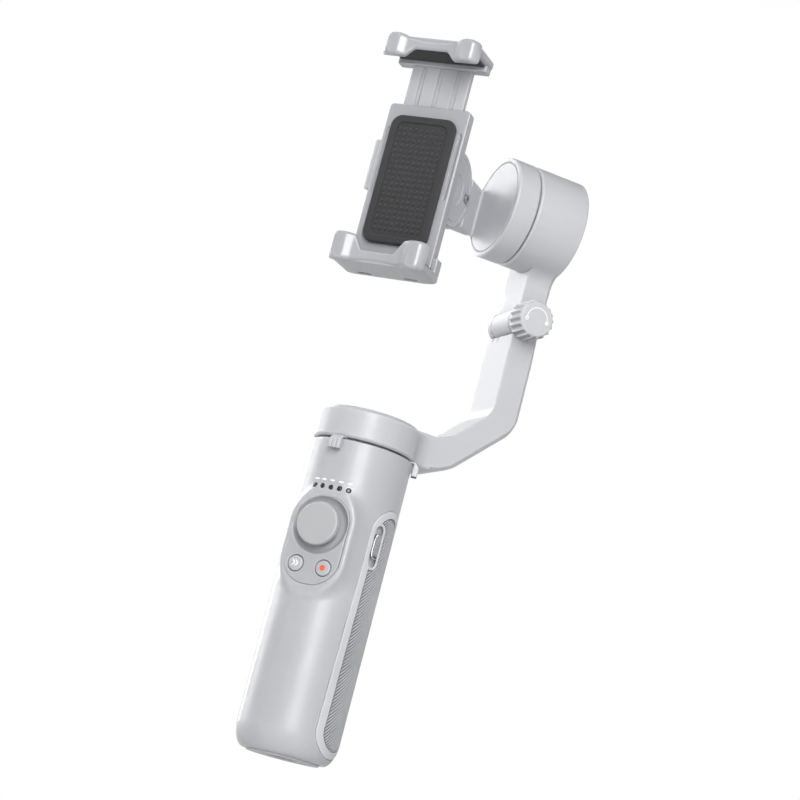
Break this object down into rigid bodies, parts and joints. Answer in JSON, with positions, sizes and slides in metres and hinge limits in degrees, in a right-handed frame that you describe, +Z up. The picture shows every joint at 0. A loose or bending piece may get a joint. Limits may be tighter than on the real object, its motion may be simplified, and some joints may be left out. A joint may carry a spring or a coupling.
{
  "type": "phone gimbal stabilizer",
  "caption": "Handheld phone stabilizer: round handle with joystick, folding bent arm, powered pan, roll and tilt axes, and a sprung phone clamp.",
  "frame": {"origin": "mouth of the tripod thread, in the middle of the handle's foot", "axes": "+Z up the handle along the pan axis, -Y the side with the controls that the user faces, +X to that user's right"},
  "size_m": [0.0694, 0.0813, 0.243],
  "materials": {
    "shell_grey": "satin light grey",
    "plate_grey": "satin grey",
    "arm_grey": "fine satin paint",
    "jaw_grey": "satin grey",
    "knob_grey": "satin grey",
    "key_grey": "satin light grey",
    "grip_rubber": "ribbed, soft",
    "pad_rubber": "ribbed, soft",
    "slider_chrome": "bright",
    "cover_grey": "fine satin paint",
    "dark_plastic": "fine texture",
    "lens_black": "smoked",
    "steel": "turned",
    "brass": "turned",
    "magnet": "plated",
    "copper": "enamelled wire",
    "board_green": "lacquered",
    "battery_wrap": "shrink wrap"
  },
  "bodies": {
    "handle": {"handle_shell": "shell_grey", "base_plate": "dark_plastic", "tripod_insert": "brass", "grip_left": "grip_rubber", "grip_right": "grip_rubber", "control_plate": "plate_grey", "led_lenses": "lens_black", "usb_port": "steel", "battery_cell": "battery_wrap", "battery_holder": "dark_plastic", "control_board": "board_green", "button_switches": "dark_plastic", "joystick_base": "dark_plastic", "pan_mount": "cover_grey", "pan_bearings": "steel", "pan_stator": "magnet", "pan_windings": "copper"},
    "joystick_gimbal": {"joystick_ring": "steel"},
    "joystick": {"joystick_cap": "key_grey"},
    "mode_key": {"mode_button": "key_grey"},
    "record_key": {"record_button": "key_grey"},
    "zoom_key": {"zoom_slider": "slider_chrome"},
    "pan_arm": {"pan_bell": "steel", "pan_magnets": "magnet", "pan_shaft": "steel", "lug_ring": "arm_grey", "lower_arm": "arm_grey", "hinge_pin": "steel"},
    "knob": {"lock_knob": "knob_grey"},
    "roll_arm": {"upper_arm": "arm_grey", "roll_cover": "cover_grey", "roll_cover_screws": "steel", "roll_bearings": "steel", "roll_stator": "magnet", "roll_windings": "copper"},
    "tilt_arm": {"roll_bell": "steel", "roll_magnets": "magnet", "roll_shaft": "steel", "roll_link": "arm_grey", "tilt_housing": "arm_grey", "tilt_cover": "cover_grey", "tilt_cover_screws": "steel", "tilt_bearings": "steel", "tilt_stator": "magnet", "tilt_windings": "copper"},
    "clamp": {"tilt_bell": "steel", "tilt_magnets": "magnet", "tilt_shaft": "steel", "clamp_bracket": "arm_grey", "bracket_screws": "steel", "clamp_frame": "jaw_grey", "frame_cover": "cover_grey", "lower_jaw": "jaw_grey", "lower_pad": "pad_rubber", "back_pad": "pad_rubber", "clamp_springs": "steel"},
    "sliding_jaw": {"jaw_slide": "cover_grey", "upper_jaw": "jaw_grey", "upper_pad": "pad_rubber"}
  },
  "joints": [
    {"name": "pan", "type": "hinge", "parent": "handle", "child": "pan_arm", "pos_m": [0, 0, 0.1], "axis": [0, 0, 1], "range_deg": [-160, 160]},
    {"name": "fold", "type": "hinge", "parent": "pan_arm", "child": "roll_arm", "pos_m": [0.03182, 0.03182, 0.1667], "axis": [-0.7071, 0.7071, 0], "range_deg": [0, 90]},
    {"name": "knob_turn", "type": "hinge", "parent": "pan_arm", "child": "knob", "pos_m": [0.03182, 0.03182, 0.1667], "axis": [0.7071, -0.7071, 0], "range_deg": [0, 180]},
    {"name": "roll", "type": "hinge", "parent": "roll_arm", "child": "tilt_arm", "pos_m": [0, 0, 0.2026], "axis": [-0.7071, -0.7071, 0], "range_deg": [-45, 90]},
    {"name": "tilt", "type": "hinge", "parent": "tilt_arm", "child": "clamp", "pos_m": [0, 0.003, 0.2026], "axis": [1, 0, 0], "range_deg": [-35, 35]},
    {"name": "jaw_slide", "type": "slide", "parent": "clamp", "child": "sliding_jaw", "axis": [0, 0, 1], "range_m": [-0.013, 0.016], "deforming": ["clamp_springs"]},
    {"name": "joystick_up_down", "type": "hinge", "parent": "handle", "child": "joystick_gimbal", "pos_m": [0, -0.0122, 0.0755], "axis": [1, 0, 0], "range_deg": [-10, 10], "stiffness_Nm_per_rad": 0.02},
    {"name": "joystick_left_right", "type": "hinge", "parent": "joystick_gimbal", "child": "joystick", "pos_m": [0, -0.0122, 0.0755], "axis": [0, 0, 1], "range_deg": [-10, 10], "stiffness_Nm_per_rad": 0.02},
    {"name": "mode_press", "type": "slide", "parent": "handle", "child": "mode_key", "axis": [0, 1, 0], "range_m": [0, 0.0006], "stiffness_N_per_m": 400},
    {"name": "record_press", "type": "slide", "parent": "handle", "child": "record_key", "axis": [0, 1, 0], "range_m": [0, 0.0006], "stiffness_N_per_m": 400},
    {"name": "zoom_slide", "type": "slide", "parent": "handle", "child": "zoom_key", "axis": [0, 0, 1], "range_m": [-0.0025, 0.0025], "stiffness_N_per_m": 100}
  ]
}
